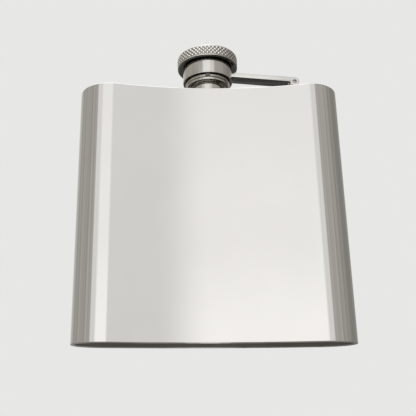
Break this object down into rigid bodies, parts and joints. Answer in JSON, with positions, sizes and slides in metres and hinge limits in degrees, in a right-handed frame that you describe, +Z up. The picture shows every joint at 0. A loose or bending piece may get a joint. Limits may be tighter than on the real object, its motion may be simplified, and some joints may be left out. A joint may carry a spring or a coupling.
{
  "type": "hip flask",
  "caption": "Curved stainless steel hip flask with a knurled screw cap held captive on a hinged arm.",
  "frame": {"origin": "middle of the flat base, in the middle of the outside box", "axes": "+Z up the neck; -Y the hollow front face; +Y the round back; +X the side that the cap swings over to"},
  "size_m": [0.093, 0.025, 0.106],
  "materials": {
    "mirror_steel": "mirror polished stainless steel",
    "turned_steel": "turned and polished stainless steel",
    "pressed_steel": "bright pressed stainless steel",
    "knurled_steel": "diamond knurled stainless steel",
    "spring_steel": "dark drawn spring steel",
    "seal_white": "soft white food-grade polyethylene"
  },
  "bodies": {
    "flask": {"body_wrap": "mirror_steel", "top_plate": "mirror_steel", "bottom_plate": "mirror_steel", "neck": "turned_steel", "hinge_bracket": "pressed_steel"},
    "pin": {"hinge_pin": "pressed_steel"},
    "arm": {"arm_strap": "pressed_steel", "collar_ring": "turned_steel"},
    "cap": {"cap_head": "knurled_steel", "cap_stem": "turned_steel", "seal_disc": "seal_white", "snap_ring": "spring_steel"}
  },
  "joints": [
    {"name": "arm_tilt", "type": "hinge", "parent": "flask", "child": "pin", "pos_m": [0.0323, 0.0008, 0.09595], "axis": [0, 1, 0], "range_deg": [0, 6.65]},
    {"name": "arm_swing", "type": "hinge", "parent": "pin", "child": "arm", "pos_m": [0.0323, 0.0008, 0.09595], "axis": [0, 1, 0], "range_deg": [0, 165]},
    {"name": "cap_turn", "type": "hinge", "parent": "arm", "child": "cap", "pos_m": [0, 0.0008, 0.0992], "axis": [0, 0, 1], "range_deg": [0, 900]}
  ],
  "couplings": [
    {"joint": "cap_turn", "follows": "arm_tilt", "ratio": 135.3}
  ]
}
